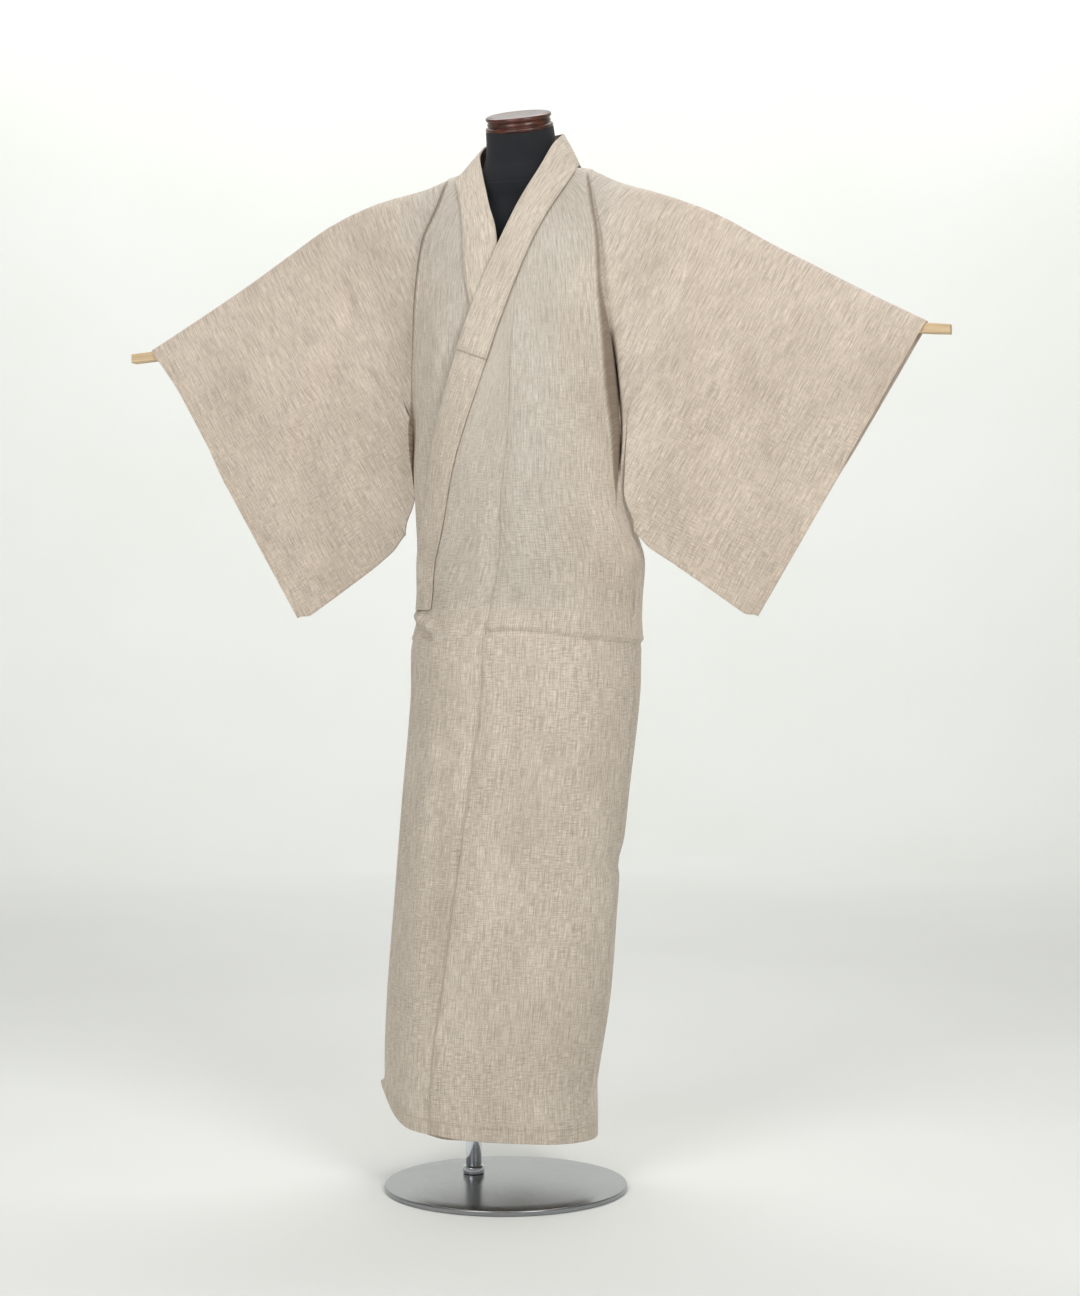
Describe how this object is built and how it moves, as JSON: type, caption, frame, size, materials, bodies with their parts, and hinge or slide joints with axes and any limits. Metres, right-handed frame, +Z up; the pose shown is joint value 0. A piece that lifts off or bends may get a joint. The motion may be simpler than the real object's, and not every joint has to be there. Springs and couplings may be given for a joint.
{
  "type": "yukata on a limbless dress form",
  "caption": "Unlined pale beige yukata, worn closed on a black limbless dress form with a turned wood neck cap, a bar through the sleeves and a round steel base",
  "frame": {"origin": "middle of the base plate's underside, on the floor", "axes": "+Z up; the front of the garment faces -Y; +X runs to the wearer's left"},
  "size_m": [1.272, 0.3779, 1.6049],
  "materials": {
    "cloth": "plain woven, matt, faint grey streaks along the warp",
    "form_cloth": "smooth black cover",
    "cap_wood": "red-brown varnish",
    "bar_wood": "bare, sanded",
    "chrome": "polished",
    "base_steel": "satin"
  },
  "bodies": {
    "root": {"base_plate": "base_steel", "pole_socket": "chrome", "pole": "chrome", "body_left": "cloth", "body_right": "cloth", "overlap_left": "cloth", "overlap_right": "cloth", "collar": "cloth", "collar_cover": "cloth", "sleeve_left": "cloth", "sleeve_right": "cloth", "form_torso": "form_cloth", "neck_cap": "cap_wood", "sleeve_bar": "bar_wood"}
  },
  "joints": []
}
